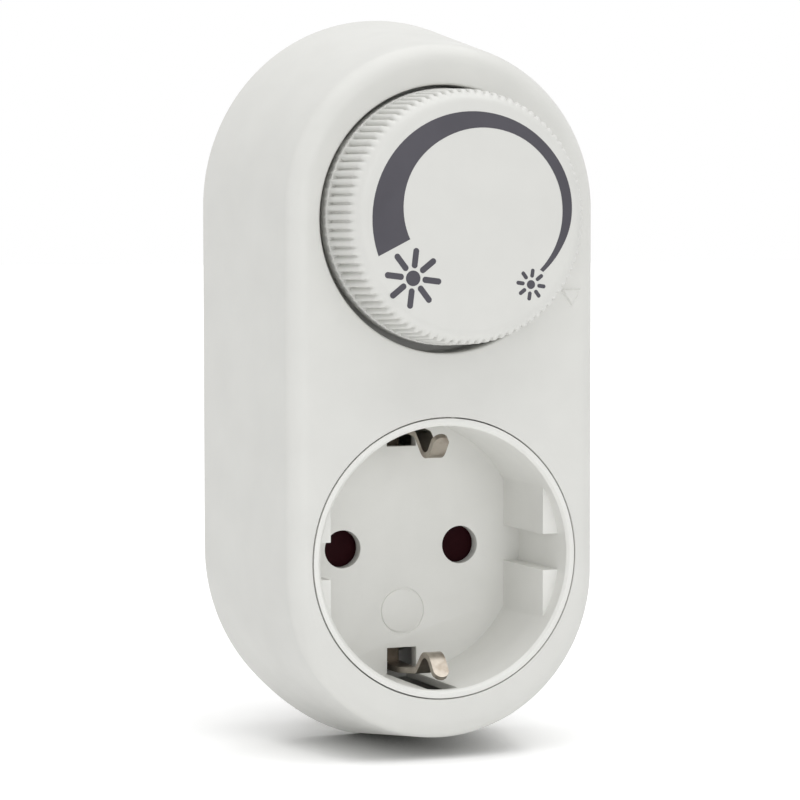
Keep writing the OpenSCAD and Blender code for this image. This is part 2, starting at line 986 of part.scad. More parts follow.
module pot_wiper() {
    ring_w = 0.8;
    arm_w = 2.4;
    color(brass)
        placed()
            translate([0, 0, knob_z])
                plate(wiper_front, wiper_front + wiper_t)
                    difference() {
                        union() {
                            circle(shaft_r + ring_w);
                            translate([-arm_w / 2, 0])
                                square([arm_w, pot_r - pot_wall - ring_w]);
                        }
                        circle(shaft_neck_r + seat);
                    }
}

module pot_bush() {
    bore_r = shaft_r + running;
    color(brass)
        placed()
            turned(0, knob_z)
                polygon([
                    [bore_r, bush_front],
                    [bush_r, bush_front],
                    [bush_r, well_back],
                    [pot_r, well_back],
                    [pot_r, pot_front],
                    [bore_r, pot_front]
                ]);
}

module pot_nut() {
    nut_wall = 2.2;
    color(nickel)
        placed()
            translate([0, 0, knob_z])
                plate(well_depth - nut_t, well_depth)
                    difference() {
                        circle(bush_r + nut_wall, $fn = 6);
                        circle(bush_r + seat);
                    }
}

module pot_case() {
    color(steel)
        placed()
            turned(0, knob_z)
                polygon([
                    [pot_r - pot_wall, pot_front],
                    [pot_r, pot_front],
                    [pot_r, pot_back],
                    [0, pot_back],
                    [0, pot_back - pot_wall],
                    [pot_r - pot_wall, pot_back - pot_wall]
                ]);
}

module pot_track() {
    bore_r = 2;
    rim_r = pot_r - pot_wall - 2 * seat;
    color(laminate_brown)
        placed()
            turned(0, knob_z)
                polygon([
                    [bore_r, track_front],
                    [rim_r, track_front],
                    [rim_r, pot_back - pot_wall],
                    [bore_r, pot_back - pot_wall]
                ]);
}

module pot_terminals() {
    half_w = 0.5;
    half_t = 0.4;
    color(brass)
        placed()
            for (x = [-terminal_pitch, 0, terminal_pitch])
                block([x - half_w, pot_back, knob_z - half_t],
                    [x + half_w, board_back + over, knob_z + half_t]);
}

module circuit_board() {
    color(board_green)
        placed()
            difference() {
                plate(board_depth, board_back)
                    translate([-board_half_w, board_low])
                        square([2 * board_half_w, board_h]);
                posts(board_posts, screw_r + seat, board_depth - over, board_back + over);
                for (x = [-terminal_pitch, 0, terminal_pitch])
                    rod(x, knob_z, lead_hole_r, board_depth - over, board_back + over);
                for (x = [switched_wire_x, live_wire_x])
                    rod(x, wire_foot_z, lead_hole_r, board_depth - over, board_back + over);
            }
}

module triac() {
    lead_pitch = 2.54;
    lead_half = 0.4;
    middle = triac_low + triac_w / 2;
    lead_x = triac_x + triac_t / 2;
    color(epoxy_black)
        placed()
            difference() {
                union() {
                    block([triac_x, triac_back - triac_h, triac_low],
                        [triac_x + triac_t, triac_back, triac_low + triac_w]);
                    for (z = [middle - lead_pitch, middle, middle + lead_pitch])
                        block([lead_x - lead_half, triac_back - lap, z - lead_half],
                            [lead_x + lead_half, board_depth, z + lead_half]);
                }
                along_x(triac_x - over, triac_screw_depth, middle)
                    cylinder(h = triac_t + 2 * over, r = screw_r + seat);
            }
}

module heat_sink() {
    sink_x = triac_x + triac_t;
    sink_front_gap = 0.4;
    sink_front = pot_front + sink_front_gap;
    sink_foot = 2;
    sink_low = triac_low - sink_foot;
    color(aluminium)
        placed()
            difference() {
                block([sink_x, sink_front, sink_low], [sink_x + sink_t, board_depth, sink_low + sink_w]);
                along_x(sink_x - over, triac_screw_depth, triac_low + triac_w / 2)
                    cylinder(h = sink_t + 2 * over, r = screw_r + seat);
            }
}

module triac_screw() {
    head_t = 1.2;
    head_r = 1.8 * screw_r;
    color(steel)
        placed()
            along_x(triac_x, triac_screw_depth, triac_low + triac_w / 2) {
                cylinder(h = triac_t + sink_t + over, r = screw_r);
                translate([0, 0, -head_t])
                    cylinder(h = head_t, r = head_r);
            }
}

module choke_core() {
    core_back = board_depth - winding_t - 2 * seat;
    color(core_grey)
        placed()
            turned(choke_x, choke_z)
                polygon([
                    [choke_bore_r, core_back - choke_h],
                    [choke_r, core_back - choke_h],
                    [choke_r, core_back],
                    [choke_bore_r, core_back]
                ]);
}

// Band of turns that leaves a gap between its two ends
module choke_winding() {
    wound_angle = 320;
    core_w = choke_r - choke_bore_r;
    core_back = board_depth - winding_t - 2 * seat;
    color(copper)
        placed()
            translate([choke_x, 0, choke_z])
                rotate([-90, 0, 0])
                    rotate_extrude(angle = wound_angle)
                        difference() {
                            translate([choke_bore_r - winding_t, core_back - choke_h - winding_t])
                                square([core_w + 2 * winding_t, choke_h + 2 * winding_t + 2 * seat]);
                            translate([choke_bore_r - seat, core_back - choke_h - seat])
                                square([core_w + 2 * seat, choke_h + 2 * seat]);
                        }
}

module film_capacitor() {
    pot_gap = 1.4;
    low = [-pot_r - pot_gap - film_w, board_depth - film_t, film_low];
    color(capacitor_yellow)
        placed()
            block(low, low + [film_w, film_t, film_h]);
}

module timing_capacitor() {
    low = [timing_left, board_depth - timing_t, timing_low];
    color(capacitor_green)
        placed()
            block(low, low + [timing_w, timing_t, timing_h]);
}

// Axial part lying on the board with its two leads bent down into it
module axial_part(x, z, length, r) {
    axis = board_depth - r - 2 * seat;
    lead = 0.3;
    along_x(x - length / 2, axis, z)
        cylinder(h = length, r = r);
    for (end = [x - length / 2, x + length / 2])
        block([end - lead, axis - lead, z - lead], [end + lead, board_depth, z + lead]);
}

module diac() {
    diac_x = 9.5;
    below_top = 5;
    body_length = 4.4;
    body_r = 1;
    color(diac_red)
        placed()
            axial_part(diac_x, board_top - below_top, body_length, body_r);
}

module resistors() {
    below_top = 4;
    body_length = 4.2;
    body_r = 1.1;
    spacing = 6;
    color(resistor_tan)
        placed()
            for (x = [-spacing, 0])
                axial_part(x, board_top - below_top, body_length, body_r);
}

module fuse_tube() {
    tube_r = fuse_r - fuse_cap_t;
    tube_wall = 0.6;
    tube_end = 1;
    tube_length = fuse_length - 2 * fuse_cap_end;
    color(clear_glass)
        placed()
            along_x(fuse_left + fuse_cap_end, fuse_axis, fuse_z)
                difference() {
                    cylinder(h = tube_length, r = tube_r);
                    translate([0, 0, tube_end])
                        cylinder(h = tube_length - 2 * tube_end, r = tube_r - tube_wall);
                }
}

module fuse_caps() {
    hollow = fuse_cap_length - fuse_cap_end + seat;
    color(nickel)
        placed()
            for (end = [0, 1])
                along_x(fuse_left + end * (fuse_length - fuse_cap_length), fuse_axis, fuse_z)
                    difference() {
                        cylinder(h = fuse_cap_length, r = fuse_r);
                        translate([0, 0, end == 0 ? fuse_cap_end - seat : -over])
                            cylinder(h = hollow + over, r = fuse_r - fuse_cap_t + seat);
                    }
}

module fuse_clips() {
    clip_w = 3;
    clip_t = 0.4;
    clip_inset = 1;
    clip_foot = 3;
    clip_step = fuse_length - clip_w - 2 * clip_inset;
    color(brass)
        placed()
            for (end = [0, 1])
                along_x(fuse_left + clip_inset + end * clip_step, fuse_axis, fuse_z)
                    difference() {
                        union() {
                            cylinder(h = clip_w, r = fuse_r + seat + clip_t);
                            translate([-clip_foot / 2, 0, 0])
                                cube([clip_foot, board_depth - fuse_axis, clip_w]);
                        }
                        translate([0, 0, -over])
                            cylinder(h = clip_w + 2 * over, r = fuse_r + seat);
                        translate([-2 * fuse_r, -2 * fuse_r, -over])
                            cube([4 * fuse_r, 1.3 * fuse_r, clip_w + 2 * over]);
                    }
}

// Last stretch of a wire: up behind the board and square into it
function wire_end(x) = [
    [x, wire_depth, wire_foot_z - wire_bend],
    [x, wire_depth - 0.3 * wire_bend, wire_foot_z - 0.2 * wire_bend],
    [x, board_back + 0.5 * wire_bend, wire_foot_z],
    [x, board_back + seat, wire_foot_z]
];

module live_wire() {
    tag_end = [hole_x, pin_tag_depth, pin_tag_z + 2 * seat];
    reach = plug_r - plug_wall - wire_r - 2 * wire_play;
    run_z = sqrt(reach * reach - live_wire_x * live_wire_x);
    color(wire_brown)
        placed()
            tube(concat(
                [
                    tag_end,
                    tag_end + wire_bend * [0, 0, 1],
                    [hole_x, pin_tag_depth - 1.2 * wire_bend, run_z - 0.2 * wire_bend],
                    [live_wire_x, pin_tag_depth - 4 * wire_bend, run_z],
                    [live_wire_x, housing_depth, run_z],
                    [live_wire_x, wire_depth + 0.4 * wire_bend, run_z + 1.4 * wire_bend],
                    [live_wire_x, wire_depth, run_z + 3 * wire_bend]
                ],
                wire_end(live_wire_x)
            ), wire_r, wire_sides);
}

module switched_wire() {
    tag_end = [contact_tag_x, contact_tag_depth, contact_tag_z + 2 * seat];
    color(wire_black)
        placed()
            tube(concat(
                [
                    tag_end,
                    tag_end + wire_bend * [0, 0, 0.8],
                    [hole_x, wire_depth + 0.1 * wire_bend, tag_end[2] + 2 * wire_bend],
                    [switched_wire_x, wire_depth, tag_end[2] + 4 * wire_bend]
                ],
                wire_end(switched_wire_x)
            ), wire_r, wire_sides);
}

// Self-tapping screw whose head sits at the deeper end
module screw(x, z, head_back) {
    rod(x, z, screw_r, head_back - screw_length, head_back - screw_head_t / 2);
    rod(x, z, screw_head_r, head_back - screw_head_t, head_back);
}

module cover_screws() {
    color(steel)
        placed()
            mirrored_x()
                for (p = screw_posts)
                    screw(p[0], p[1], housing_depth - cover_t / 2 + screw_head_t);
}

module board_screws() {
    color(steel)
        placed()
            mirrored_x()
                screw(board_post_x, board_post_z, board_back + screw_head_t);
}

front_housing();
rear_cover();
socket_insert();
socket_floor();
shutter();
shutter_spring();
earth_strip_top();
earth_strip_bottom();
earth_bridge();
earth_rivets();
live_contact();
neutral_contact();
contact_carrier();
live_pin();
neutral_pin();
knob();
pot_shaft();
pot_wiper();
pot_bush();
pot_nut();
pot_case();
pot_track();
pot_terminals();
circuit_board();
triac();
heat_sink();
triac_screw();
choke_core();
choke_winding();
film_capacitor();
timing_capacitor();
diac();
resistors();
fuse_tube();
fuse_caps();
fuse_clips();
live_wire();
switched_wire();
cover_screws();
board_screws();
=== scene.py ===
from math import atan2, cos, hypot, pi, radians, sin, sqrt, tau

import bmesh
import bpy
from mathutils import Matrix, Vector


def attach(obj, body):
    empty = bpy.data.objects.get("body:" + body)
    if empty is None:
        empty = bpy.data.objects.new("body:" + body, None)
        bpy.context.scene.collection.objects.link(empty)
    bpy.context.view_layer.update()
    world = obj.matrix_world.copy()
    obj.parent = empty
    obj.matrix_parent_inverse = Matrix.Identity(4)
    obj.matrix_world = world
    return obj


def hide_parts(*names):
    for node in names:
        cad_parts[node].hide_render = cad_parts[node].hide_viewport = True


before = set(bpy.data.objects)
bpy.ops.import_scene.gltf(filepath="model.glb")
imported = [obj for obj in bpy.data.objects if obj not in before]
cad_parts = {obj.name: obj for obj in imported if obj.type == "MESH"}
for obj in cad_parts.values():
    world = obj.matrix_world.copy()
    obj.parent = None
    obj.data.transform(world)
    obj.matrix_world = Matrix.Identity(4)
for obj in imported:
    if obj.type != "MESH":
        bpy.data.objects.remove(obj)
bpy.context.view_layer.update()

# Front housing: the tall rounded shell that every other piece is fixed in, drawn down to a foot.
# One injection moulding in off-white plastic, drafted towards the wall, with a round well for the
# knob, a round hole for the socket, screw posts inside and a raised pointer beside the knob.
mm = 0.001
weld = 0.002 * mm
plug_face = 44.0
housing_depth = 27.0
front_r = 23.7
side_draft = 4.7
housing_wall = 2.0
front_wall = 2.4
front_edge_r, front_margin, inner_edge = 3.0, 0.12, 0.6
back_edge, back_chamfer = 0.4, 0.2
low_front, low_back = -2.75, 0.25
high_front, high_back = 50.9, 51.4
between_ends = 25.0
foot_drop, flat_rise = 1.68, 0.3
# shares of the half width: where the foot is full, where it ends and how far its flat middle reaches
foot_full, foot_end, flat_half = 0.14, 0.76, 0.16
knob_z, well_z = 49.75, 49.45
well_r, well_depth, well_wall, bush_hole_r = 19.45, 6.0, 1.5, 3.9
well_lip, well_margin, well_corner = 0.3, 0.1, 0.25
socket_hole_r, socket_lip = 20.7, 0.1
arc_steps, ring_steps = 40, 160
pointer = [(18.0, 39.3), (21.6, 39.2), (20.0, 36.4)]
pointer_rise, pointer_root, pointer_taper = 0.4, 0.1, 0.72
top_post, low_post, board_post = (14.03, 69.08), (18.5, 24.7), (17.39, 61.9)
post_r, pilot_r, pilot_depth = 2.6, 1.05, 7.2
post_root, top_post_root = front_wall - 0.1, 12.0
cover_post_end, board_post_end = 25.0, 19.5
housing_white, housing_gloss = (220, 220, 216), (0.36, 0.46)


def at(x, depth, z):
    """A point of the dimmer in mm, its depth counted back from the housing's front face."""
    return Vector((x, depth - plug_face, z)) * mm


def turned(bm, profile, x=0.0, z=0.0, steps=96):
    """Spin a profile of (radius, depth) points about the axis that stands at x, z."""
    verts = [bm.verts.new(at(x + r, depth, z)) for r, depth in profile]
    edges = [bm.edges.new(pair) for pair in zip(verts, verts[1:])]
    bmesh.ops.spin(bm, geom=verts + edges, cent=at(x, 0, z), axis=(0, 1, 0), angle=tau,
                   steps=steps, use_merge=True)


def carried(bm, edges):
    """Extrude a row of edges in place; gives the new vertices and the new row."""
    geom = bmesh.ops.extrude_edge_only(bm, edges=edges)["geom"]
    verts = {part for part in geom if isinstance(part, bmesh.types.BMVert)}
    row = [part for part in geom
           if isinstance(part, bmesh.types.BMEdge) and set(part.verts) <= verts]
    return list(verts), row


def rounding(radius, depth, r, start, end, steps):
    """Points of a rounded edge about a centre at (radius, depth); the angle is 0 towards the front."""
    angles = [radians(start + (end - start) * i / steps) for i in range(steps + 1)]
    return [(radius + r * sin(a), depth - r * cos(a)) for a in angles]


def finished(bm, name, material, crease=32):
    """Close and turn out the mesh, keep edges above the crease angle crisp, and make the piece."""
    bmesh.ops.remove_doubles(bm, verts=bm.verts, dist=weld)
    bmesh.ops.recalc_face_normals(bm, faces=bm.faces)
    for face in bm.faces:
        face.smooth = True
    for edge in bm.edges:
        edge.smooth = edge.is_manifold and edge.calc_face_angle() < radians(crease)
    mesh = bpy.data.meshes.new(name)
    bm.to_mesh(mesh)
    bm.free()
    mesh.materials.append(material)
    piece = bpy.data.objects.new(name, mesh)
    bpy.context.scene.collection.objects.link(piece)
    return piece


def seen(red, green, blue):
    """A colour as it is seen, 0 to 255 a channel, in the linear values that a shader takes."""
    return (*(((c / 255 + 0.055) / 1.055) ** 2.4 for c in (red, green, blue)), 1.0)


def effect(name, inputs, outputs):
    """An empty node group with named sockets, and its two ends."""
    group = bpy.data.node_groups.new(name, "ShaderNodeTree")
    for way, sockets in (("INPUT", inputs), ("OUTPUT", outputs)):
        for label, kind in sockets:
            group.interface.new_socket(label, in_out=way, socket_type="NodeSocket" + kind)
    return group, group.nodes.new("NodeGroupInput"), group.nodes.new("NodeGroupOutput")


def noise(tree, place, scale, detail):
    """Noise on a vector socket; the scale may be a number or a socket."""
    texture = tree.nodes.new("ShaderNodeTexNoise")
    texture.inputs["Detail"].default_value = detail
    tree.links.new(place, texture.inputs["Vector"])
    if isinstance(scale, (int, float)):
        texture.inputs["Scale"].default_value = scale
    else:
        tree.links.new(scale, texture.inputs["Scale"])
    return texture.outputs["Fac"]


def blended(tree, factor, first, second):
    """Mix of two colours by a factor socket; either colour may be a socket."""
    mix = tree.nodes.new("ShaderNodeMix")
    mix.data_type = "RGBA"
    tree.links.new(factor, mix.inputs[0])
    for socket, colour in ((mix.inputs[6], first), (mix.inputs[7], second)):
        if isinstance(colour, tuple):
            socket.default_value = colour
        else:
            tree.links.new(colour, socket)
    return mix.outputs[2]


def ranged(tree, value, low, high, new_low, new_high):
    """A value carried from one range to another."""
    remap = tree.nodes.new("ShaderNodeMapRange")
    tree.links.new(value, remap.inputs["Value"])
    ends = {"From Min": low, "From Max": high, "To Min": new_low, "To Max": new_high}
    for label, number in ends.items():
        if isinstance(number, (int, float)):
            remap.inputs[label].default_value = number
        else:
            tree.links.new(number, remap.inputs[label])
    return remap.outputs["Result"]


# the skin that a spark-eroded mould leaves: cloudy tone, uneven gloss and a fine grain
cloud_scale, cloud_detail, grain_detail = 140.0, 3.0, 2.0
noise_low, noise_high = 0.3, 0.7
surface_values = [("Colour", "Color"), ("Roughness", "Float"), ("Height", "Float")]
moulded_skin, given, result = effect(
    "moulded_skin",
    [("Colour", "Color"), ("Deeper", "Color"), ("Gloss low", "Float"), ("Gloss high", "Float"),
     ("Grain", "Float")],
    surface_values)
spot = moulded_skin.nodes.new("ShaderNodeTexCoord").outputs["Object"]
cloud = noise(moulded_skin, spot, cloud_scale, cloud_detail)
grain = noise(moulded_skin, spot, given.outputs["Grain"], grain_detail)
tone = ranged(moulded_skin, cloud, noise_low, noise_high, 0.0, 1.0)
moulded_skin.links.new(
    blended(moulded_skin, tone, given.outputs["Colour"], given.outputs["Deeper"]),
    result.inputs["Colour"])
moulded_skin.links.new(
    ranged(moulded_skin, cloud, noise_low, noise_high,
           given.outputs["Gloss low"], given.outputs["Gloss high"]),
    result.inputs["Roughness"])
moulded_skin.links.new(grain, result.inputs["Height"])


def finish_material(name, group, values, bump_strength, bump_depth, **shader_values):
    """A material whose colour, gloss and grain come from an effect, with plain values on the shader."""
    material = bpy.data.materials.new(name)
    material.use_nodes = True
    tree = material.node_tree
    shader = tree.nodes["Principled BSDF"]
    surface = tree.nodes.new("ShaderNodeGroup")
    surface.node_tree = group
    for label, value in values.items():
        surface.inputs[label].default_value = value
    bump = tree.nodes.new("ShaderNodeBump")
    bump.inputs["Strength"].default_value = bump_strength
    bump.inputs["Distance"].default_value = bump_depth
    tree.links.new(surface.outputs["Height"], bump.inputs["Height"])
    tree.links.new(bump.outputs["Normal"], shader.inputs["Normal"])
    tree.links.new(surface.outputs["Colour"], shader.inputs["Base Color"])
    tree.links.new(surface.outputs["Roughness"], shader.inputs["Roughness"])
    for label, value in shader_values.items():
        shader.inputs[label.replace("_", " ")].default_value = value
    return material


def moulded(name, colour, gloss, grain=5200.0, deeper=0.985, grain_strength=0.12, grain_depth=0.04):
    """Moulded plastic of one colour, with its satin between the two gloss values."""
    darker = tuple(c * deeper for c in colour)
    return finish_material(
        name, moulded_skin,
        {"Colour": seen(*colour), "Deeper": seen(*darker), "Gloss low": gloss[0], "Gloss high": gloss[1],
         "Grain": grain},
        grain_strength, grain_depth * mm)


def side_r(depth):
    """Half width of the housing at a depth."""
    return front_r + side_draft * depth / housing_depth


def end_z(depth, front, back):
    """Height of one end's centre at a depth."""
    return front + (back - front) * depth / housing_depth


def eased(place, start, end):
    """Smooth step from 0 at the start to 1 at the end."""
    t = min(max((place - start) / (end - start), 0.0), 1.0)
    return t * t * (3 - 2 * t)


def draw_foot(verts):
    """Draw the lower end down towards the back, to the full and flat foot that the housing stands on."""
    for vert in verts:
        depth = vert.co.y / mm + plug_face
        aside = abs(vert.co.x) / mm / side_r(depth)
        drop = foot_drop * eased(aside, foot_end, foot_full) - flat_rise * eased(aside, flat_half, 0.0)
        vert.co.z -= drop * (depth / housing_depth) ** 2 * mm


shell = bmesh.new()
draft = atan2(side_draft, housing_depth)
turn_end = 90 - draft * 180 / pi
edge_centre = side_r(front_edge_r * (1 - sin(draft))) - front_edge_r * cos(draft)
back_r = side_r(housing_depth)
sections = [(edge_centre - front_margin, 0.0)]
sections += rounding(edge_centre, front_edge_r, front_edge_r, 0, turn_end, 10)
sections += [(side_r(housing_depth - back_edge), housing_depth - back_edge)]
sections += rounding(back_r - back_edge, housing_depth - back_edge, back_edge, 110, 180, 4)
sections += [
    (back_r - housing_wall + back_chamfer, housing_depth),
    (back_r - housing_wall, housing_depth - back_chamfer),
    (side_r(front_wall + inner_edge) - housing_wall, front_wall + inner_edge),
    (side_r(front_wall) - housing_wall - inner_edge, front_wall)]
r, depth = sections[0]
low, high = end_z(depth, low_front, low_back), end_z(depth, high_front, high_back)
start = shell.verts.new(at(0, depth, low - r))
arc = bmesh.ops.spin(shell, geom=[start], cent=at(0, depth, low), axis=(0, 1, 0), angle=pi / 2,
                     steps=arc_steps)
corner = [part for part in arc["geom_last"] if isinstance(part, bmesh.types.BMVert)]
raised = bmesh.ops.extrude_vert_indiv(shell, verts=corner)["verts"]
bmesh.ops.translate(shell, vec=at(0, 0, high) - at(0, 0, low), verts=raised)
bmesh.ops.spin(shell, geom=raised, cent=at(0, depth, high), axis=(0, 1, 0), angle=pi / 2, steps=arc_steps)
bmesh.ops.mirror(shell, geom=shell.verts[:] + shell.edges[:], matrix=Matrix.Identity(4),
                 merge_dist=weld, axis="X")
bmesh.ops.remove_doubles(shell, verts=shell.verts, dist=weld)
row = shell.edges[:]
for next_r, next_depth in sections[1:]:
    verts, row = carried(shell, row)
    lower = [vert for vert in verts if vert.co.z < between_ends * mm]
    upper = [vert for vert in verts if vert.co.z > between_ends * mm]
    for front, back, half in ((low_front, low_back, lower), (high_front, high_back, upper)):
        centre = at(0, depth, end_z(depth, front, back))
        next_centre = at(0, next_depth, end_z(next_depth, front, back))
        bmesh.ops.scale(shell, vec=(next_r / r, 1, next_r / r), space=Matrix.Translation(-centre), verts=half)
        bmesh.ops.translate(shell, vec=next_centre - centre, verts=half)
    r, depth = next_r, next_depth
draw_foot([vert for vert in shell.verts if vert.co.z < 0])
stands_at = min(vert.co.z for vert in shell.verts)


def level_with(depth, edge, reach=0.01):
    """Whether an edge lies at one depth."""
    return all(abs(vert.co.y - at(0, depth, 0).y) < reach * mm for vert in edge.verts)


lip_angles = [pi / 8 * i for i in range(5)]
turned(shell, [(well_r + well_lip + well_margin, 0.0)]
       + [(well_r + well_lip - well_lip * sin(a), well_lip - well_lip * cos(a)) for a in lip_angles]
       + [(well_r, well_depth - well_corner), (well_r - well_corner, well_depth), (bush_hole_r, well_depth),
          (bush_hole_r, well_depth + well_wall), (well_r + well_wall, well_depth + well_wall),
          (well_r + well_wall, front_wall)], z=well_z, steps=ring_steps)
turned(shell, [(socket_hole_r + socket_lip, 0.0), (socket_hole_r, socket_lip), (socket_hole_r, front_wall)],
       steps=ring_steps)
bmesh.ops.remove_doubles(shell, verts=shell.verts, dist=weld)
for level in (0.0, front_wall):
    open_row = [edge for edge in shell.edges if len(edge.link_faces) < 2 and level_with(level, edge)]
    bmesh.ops.triangle_fill(shell, edges=open_row, use_beauty=True)
corners = [shell.verts.new(at(x, pointer_root, z)) for x, z in pointer]
row = [shell.edges.new((corners[i - 1], corners[i])) for i in range(3)]
bmesh.ops.contextual_create(shell, geom=row)
verts, row = carried(shell, row)
middle = sum((vert.co for vert in verts), Vector()) / 3
bmesh.ops.scale(shell, vec=(pointer_taper, 1, pointer_taper), space=Matrix.Translation(-middle), verts=verts)
bmesh.ops.translate(shell, vec=(0, -(pointer_root + pointer_rise) * mm, 0), verts=verts)
bmesh.ops.contextual_create(shell, geom=row)
for (x, z), start, end in ((top_post, top_post_root, cover_post_end), (low_post, post_root, cover_post_end),
                           (board_post, post_root, board_post_end)):
    for side in (-x, x):
        turned(shell, [(0, start), (post_r, start), (post_r, end), (pilot_r, end),
                       (pilot_r, end - pilot_depth), (0, end - pilot_depth)], x=side, z=z, steps=32)
housing_plastic = moulded("housing_plastic", housing_white, housing_gloss)
front_housing = finished(shell, "front_shell", housing_plastic)
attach(front_housing, "housing")
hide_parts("front_housing")

# Knob: the ribbed turning knob with a flat face, pushed onto the potentiometer's flatted shaft.
# Moulded hollow in the housing's plastic; the half-round ribs taper towards the front and end in
# rounded noses on the front edge, and a plain skirt behind them reaches into the well.
knob_r, knob_face, skirt_end, knob_wall = 18.6, -9.4, 2.4, 1.7
core_r, core_back_r, knob_edge_r, inner_r = 17.75, 17.72, 1.7, 16.1
rim_start, rim_gap, rim_edge, face_margin, root_edge = -0.2, 0.05, 0.2, 0.15, 0.5
rib_count, rib_points = 90, 10
rib_rise = [(0.0, 0.0), (0.45, 0.0), (0.75, 0.14), (1.15, 0.28), (1.8, 0.48), (9.2, 0.86)]
rib_half_nose, rib_half, nose_rise, rib_roundness = 0.28, 0.4, 0.5, 2.4
hub_r, hub_end, shaft_hole_r, shaft_hole_end = 4.6, 2.8, 3.05, -5.9
knob_white, knob_gloss = (217, 217, 213), (0.34, 0.44)
cup = bmesh.new()
core_lean = (core_back_r - core_r) / (rim_start - knob_face - knob_edge_r)
core_rings = [2.2, 3.0, 4.5, 6.5, 8.5, rim_start - knob_face - rim_gap]
knob_back = knob_face + knob_wall
turned(cup, [(0.0, knob_face), (core_r - knob_edge_r - face_margin, knob_face)]
       + rounding(core_r - knob_edge_r, knob_face + knob_edge_r, knob_edge_r, 0, 90, 18)
       + [(core_r + core_lean * (behind - knob_edge_r), knob_face + behind) for behind in core_rings]
       + [(knob_r, rim_start)] + rounding(knob_r - rim_edge, skirt_end - rim_edge, rim_edge, 90, 180, 4)
       + [(inner_r + rim_edge, skirt_end), (inner_r, skirt_end - rim_edge), (inner_r, knob_back + root_edge),
          (inner_r - root_edge, knob_back), (hub_r, knob_back), (hub_r, hub_end),
          (shaft_hole_r, hub_end), (shaft_hole_r, shaft_hole_end), (0.0, shaft_hole_end)],
       z=knob_z, steps=rib_count * rib_points)


def along(steps, place):
    """Value at a place between the stations of a list of (place, value)."""
    for (a, low), (b, high) in zip(steps, steps[1:]):
        if place <= b:
            return low + (high - low) * (place - a) / (b - a)
    return steps[-1][1]


for vert in cup.verts:
    x, z = vert.co.x / mm, vert.co.z / mm - knob_z
    depth = vert.co.y / mm + plug_face
    outside = hypot(x, z) > inner_r + root_edge
    if outside and depth < rim_start - rim_gap / 2:
        pitches = atan2(z, x) / tau * rib_count
        off_centre = abs(pitches - round(pitches))
        rise = along(rib_rise, depth - knob_face)
        half = rib_half_nose + (rib_half - rib_half_nose) * min(rise / nose_rise, 1.0)
        bulge = rise * sqrt(max(1 - (off_centre / half) ** rib_roundness, 0.0))
        grown = 1 + bulge / hypot(x, z)
        vert.co = at(x * grown, depth, knob_z + z * grown)
knob_plastic = moulded("knob_plastic", knob_white, knob_gloss)
knob = finished(cup, "ribbed_knob", knob_plastic)
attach(knob, "dial")
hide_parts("knob")

# Brightness scale: a tapered arc between a large and a small sun, for bright and dim.
# Pad-printed on the knob's face in dark grey ink, so it turns with the knob.
ink_height = 0.02
scale_z = 49.4
# angle, inner radius, outer radius, lead of the outer corner
arc_stations = [(200.2, 9.75, 15.05, 3.4), (170, 10.5, 15.05, 0.0), (140, 11.4, 15.1, 0.0),
                (110, 12.2, 15.2, 0.0), (80, 13.22, 15.4, 0.0), (50, 14.15, 15.8, 0.0),
                (22, 14.48, 16.05, 0.0), (0, 14.17, 15.6, 0.0), (-18, 13.6, 14.55, 0.0),
                (-34, 12.9, 13.5, 0.0)]
arc_parts = 8
# x, z, disc radius, start, end and width of the rays, lean
suns = [(-8.9, 41.08, 1.1, 1.42, 4.32, 0.9, 7.0), (9.28, 40.06, 0.64, 1.0, 2.3, 0.58, 8.0)]
ray_count, disc_points, ray_points = 8, 40, 18
ink_grey, ink_gloss, ink_grain = (70, 68, 76), (0.45, 0.6), 9000.0


def between(a, b, c, d, t):
    """Smooth value between b and c, with a and d as the neighbours on either side."""
    square, cube = 2 * a - 5 * b + 4 * c - d, 3 * b - a - 3 * c + d
    return 0.5 * (2 * b + (c - a) * t + square * t * t + cube * t ** 3)


scale_print = bmesh.new()
stations = arc_stations[:1] + arc_stations + arc_stations[-1:]
places = [[between(*(station[k] for station in four), i / arc_parts) for k in range(4)]
          for four in zip(stations, stations[1:], stations[2:], stations[3:]) for i in range(arc_parts)]
places.append(arc_stations[-1])
pair = []
for angle, inner, outer, lead in places:
    ends = [at(radius * cos(radians(turn)), knob_face, scale_z + radius * sin(radians(turn)))
            for radius, turn in ((inner, angle - lead), (outer, angle))]
    if pair:
        verts, row = carried(scale_print, row)
        verts.sort(key=lambda vert: (vert.co - pair[0].co).length)
        pair = verts
        pair[0].co, pair[1].co = ends
    else:
        pair = [scale_print.verts.new(end) for end in ends]
        row = [scale_print.edges.new(pair)]
upright = Matrix.Rotation(pi / 2, 4, "X")
for x, z, disc_r, ray_from, ray_to, ray_w, lean in suns:
    centre = Matrix.Translation(at(x, knob_face, z))
    bmesh.ops.create_circle(scale_print, cap_ends=True, segments=disc_points, radius=disc_r * mm,
                            matrix=centre @ upright)
    for i in range(ray_count):
        verts = bmesh.ops.create_circle(
            scale_print, cap_ends=True, segments=ray_points, radius=ray_w / 2 * mm, matrix=upright)["verts"]
        bmesh.ops.translate(scale_print, vec=(0, 0, (ray_to - ray_from - ray_w) * mm),
                            verts=[vert for vert in verts if vert.co.z > 0])
        bmesh.ops.translate(scale_print, vec=(0, 0, (ray_from + ray_w / 2) * mm), verts=verts)
        bmesh.ops.transform(scale_print, verts=verts,
                            matrix=centre @ Matrix.Rotation(radians(lean) + tau * i / ray_count, 4, "Y"))
bmesh.ops.recalc_face_normals(scale_print, faces=scale_print.faces)
for face in scale_print.faces:
    if face.normal.y > 0:
        face.normal_flip()
bmesh.ops.solidify(scale_print, geom=scale_print.faces[:], thickness=2 * ink_height * mm)
front = min(vert.co.y for vert in scale_print.verts)
ink_top = at(0, knob_face - ink_height, 0).y
